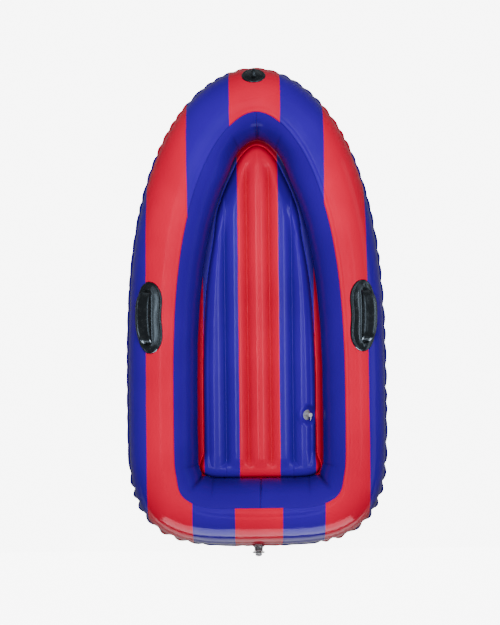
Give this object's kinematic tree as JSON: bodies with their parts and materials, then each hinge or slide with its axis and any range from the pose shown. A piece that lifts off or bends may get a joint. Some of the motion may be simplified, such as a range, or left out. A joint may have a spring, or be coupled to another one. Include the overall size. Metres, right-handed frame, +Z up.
{
  "type": "inflatable dinghy",
  "caption": "Small inflatable dinghy: one striped air tube with a rounded bow and square stern, an air floor, side handles, a bow rope eye and air valves.",
  "frame": {"origin": "middle of the boat's box, on the ground", "axes": "+Y to the bow, +X to starboard, +Z up"},
  "size_m": [1, 1.8594, 0.2981],
  "materials": {
    "striped_vinyl": "glossy PVC sheet printed in red and blue stripes along the boat",
    "blue_vinyl": "glossy blue PVC sheet",
    "black_moulding": "glossy soft black PVC moulding",
    "black_rubber": "satin rubber washer",
    "clear_moulding": "clear soft PVC moulding",
    "white_moulding": "milky soft PVC moulding"
  },
  "bodies": {
    "boat": {"hull_top_panel": "striped_vinyl", "hull_bottom_panel": "striped_vinyl", "hull_inner_panel_starboard": "blue_vinyl", "hull_inner_panel_port": "blue_vinyl", "floor_top_sheet": "striped_vinyl", "floor_bottom_sheet": "striped_vinyl", "floor_web_1": "blue_vinyl", "floor_web_2": "blue_vinyl", "floor_web_3": "blue_vinyl", "floor_web_4": "blue_vinyl", "handle_foot_port": "black_moulding", "handle_foot_starboard": "black_moulding", "handle_grip_port": "black_moulding", "handle_grip_starboard": "black_moulding", "bow_patch": "black_moulding", "bow_rope_loop": "black_moulding", "stern_valve_neck": "clear_moulding", "floor_valve_disc": "clear_moulding"},
    "stern_body": {"stern_valve_body": "clear_moulding"},
    "stern_flap": {"stern_valve_flap": "clear_moulding"},
    "stern_cap": {"stern_valve_cap": "clear_moulding", "stern_valve_seal": "black_rubber"},
    "floor_stem": {"floor_valve_stem": "clear_moulding"},
    "floor_flap": {"floor_valve_flap": "clear_moulding"},
    "floor_plug": {"floor_valve_plug": "white_moulding", "floor_valve_strap": "white_moulding"}
  },
  "joints": [
    {"name": "stern_body_pull", "type": "slide", "parent": "boat", "child": "stern_body", "axis": [0, -0.9751, 0.2219], "range_m": [0, 0.034]},
    {"name": "stern_cap_pull", "type": "slide", "parent": "stern_body", "child": "stern_cap", "axis": [0, -0.9751, 0.2219], "range_m": [0, 0.016]},
    {"name": "stern_flap_swing", "type": "hinge", "parent": "stern_body", "child": "stern_flap", "pos_m": [0, -0.88275, 0.17113], "axis": [1, 0, 0], "range_deg": [0, 55], "stiffness_Nm_per_rad": 0.002, "springref_deg": -5.73},
    {"name": "floor_stem_push", "type": "slide", "parent": "boat", "child": "floor_stem", "axis": [0.6765, 0, 0.7364], "range_m": [-0.012, 0]},
    {"name": "floor_plug_pull", "type": "slide", "parent": "floor_stem", "child": "floor_plug", "axis": [0.6765, 0, 0.7364], "range_m": [0, 0.014]},
    {"name": "floor_flap_swing", "type": "hinge", "parent": "floor_stem", "child": "floor_flap", "pos_m": [0.19062, -0.40268, 0.07573], "axis": [0.7364, 0, -0.6765], "range_deg": [0, 55], "stiffness_Nm_per_rad": 0.002, "springref_deg": -5.73}
  ]
}
